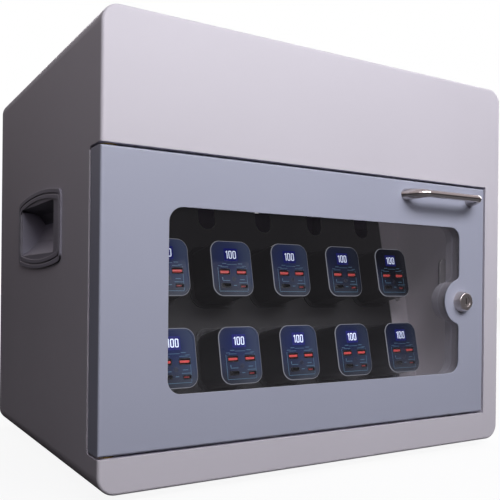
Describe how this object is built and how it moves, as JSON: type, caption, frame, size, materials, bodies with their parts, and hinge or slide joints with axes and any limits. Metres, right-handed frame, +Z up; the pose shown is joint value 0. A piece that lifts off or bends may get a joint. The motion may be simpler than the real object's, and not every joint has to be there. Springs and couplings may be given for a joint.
{
  "type": "power bank charging cabinet",
  "caption": "Steel cabinet with a hinged windowed door, cam lock and side grips, holding power banks in tilted charging docks.",
  "frame": {"origin": "middle of the floor under the whole cabinet, feet and handle included", "axes": "+X to the right seen from the front, +Y from the door to the back, +Z up"},
  "size_m": [0.504, 0.415, 0.428],
  "materials": {
    "shell_paint": "fine textured powder coat",
    "door_paint": "fine textured powder coat",
    "liner_paint": "satin paint",
    "rack_paint": "matte black paint",
    "grip_plastic": "moulded, fine grain",
    "dock_plastic": "moulded black",
    "bank_plastic": "satin black",
    "bank_face": "gloss dark face with a bright rim",
    "chrome": "polished",
    "zinc_steel": "zinc plated",
    "brass": "plain",
    "circuit_board": "solder mask",
    "supply_case": "satin",
    "rubber": "matte",
    "clear_pane": "clear acrylic",
    "inlet_plastic": "moulded black"
  },
  "bodies": {
    "cabinet": {"outer_shell": "shell_paint", "back_panel": "shell_paint", "back_panel_screws": "zinc_steel", "compartment_ceiling": "liner_paint", "compartment_floor": "liner_paint", "left_liner": "liner_paint", "right_liner": "liner_paint", "rack_plate": "rack_paint", "rack_screws": "zinc_steel", "dock_sleeves_upper": "dock_plastic", "dock_sleeves_lower": "dock_plastic", "dock_contacts": "brass", "charge_board_upper": "circuit_board", "charge_board_lower": "circuit_board", "board_standoffs": "brass", "power_supply": "supply_case", "supply_terminals": "inlet_plastic", "supply_tray": "zinc_steel", "power_inlet": "inlet_plastic", "inlet_pins": "brass", "left_grip": "grip_plastic", "right_grip": "grip_plastic", "rubber_feet": "rubber", "foot_screws": "zinc_steel", "hinge_bushes": "brass"},
    "door": {"door_skin": "door_paint", "door_inner_panel": "door_paint", "inner_panel_screws": "zinc_steel", "window_pane": "clear_pane", "window_gasket": "rubber", "door_handle": "chrome", "handle_screws": "zinc_steel", "lock_barrel": "chrome", "lock_nut": "zinc_steel", "hinge_pins": "zinc_steel"},
    "lock_core": {"lock_plug": "chrome", "lock_cam": "zinc_steel", "cam_screw": "zinc_steel"},
    "switch_rocker": {"power_rocker": "inlet_plastic"},
    "bank_01": {"bank_01_case": "bank_plastic", "bank_01_face": "bank_face"},
    "bank_02": {"bank_02_case": "bank_plastic", "bank_02_face": "bank_face"},
    "bank_03": {"bank_03_case": "bank_plastic", "bank_03_face": "bank_face"},
    "bank_04": {"bank_04_case": "bank_plastic", "bank_04_face": "bank_face"},
    "bank_05": {"bank_05_case": "bank_plastic", "bank_05_face": "bank_face"},
    "bank_06": {"bank_06_case": "bank_plastic", "bank_06_face": "bank_face"},
    "bank_07": {"bank_07_case": "bank_plastic", "bank_07_face": "bank_face"},
    "bank_08": {"bank_08_case": "bank_plastic", "bank_08_face": "bank_face"},
    "bank_09": {"bank_09_case": "bank_plastic", "bank_09_face": "bank_face"},
    "bank_10": {"bank_10_case": "bank_plastic", "bank_10_face": "bank_face"}
  },
  "joints": [
    {"name": "door_hinge", "type": "hinge", "parent": "cabinet", "child": "door", "pos_m": [-0.239, -0.17, 0.1745], "axis": [0, 0, -1], "range_deg": [0, 110]},
    {"name": "lock_turn", "type": "hinge", "parent": "door", "child": "lock_core", "pos_m": [0.1855, -0.1825, 0.173], "axis": [0, 1, 0], "range_deg": [0, 90]},
    {"name": "switch_rock", "type": "hinge", "parent": "cabinet", "child": "switch_rocker", "pos_m": [0.16, 0.198, 0.093], "axis": [1, 0, 0], "range_deg": [0, 20]},
    {"name": "bank_01_slide", "type": "slide", "parent": "cabinet", "child": "bank_01", "axis": [0, -0.9781, 0.2079], "range_m": [0, 0.028]},
    {"name": "bank_02_slide", "type": "slide", "parent": "cabinet", "child": "bank_02", "axis": [0, -0.9781, 0.2079], "range_m": [0, 0.028]},
    {"name": "bank_03_slide", "type": "slide", "parent": "cabinet", "child": "bank_03", "axis": [0, -0.9781, 0.2079], "range_m": [0, 0.028]},
    {"name": "bank_04_slide", "type": "slide", "parent": "cabinet", "child": "bank_04", "axis": [0, -0.9781, 0.2079], "range_m": [0, 0.028]},
    {"name": "bank_05_slide", "type": "slide", "parent": "cabinet", "child": "bank_05", "axis": [0, -0.9781, 0.2079], "range_m": [0, 0.028]},
    {"name": "bank_06_slide", "type": "slide", "parent": "cabinet", "child": "bank_06", "axis": [0, -0.9781, 0.2079], "range_m": [0, 0.028]},
    {"name": "bank_07_slide", "type": "slide", "parent": "cabinet", "child": "bank_07", "axis": [0, -0.9781, 0.2079], "range_m": [0, 0.028]},
    {"name": "bank_08_slide", "type": "slide", "parent": "cabinet", "child": "bank_08", "axis": [0, -0.9781, 0.2079], "range_m": [0, 0.028]},
    {"name": "bank_09_slide", "type": "slide", "parent": "cabinet", "child": "bank_09", "axis": [0, -0.9781, 0.2079], "range_m": [0, 0.028]},
    {"name": "bank_10_slide", "type": "slide", "parent": "cabinet", "child": "bank_10", "axis": [0, -0.9781, 0.2079], "range_m": [0, 0.028]}
  ]
}
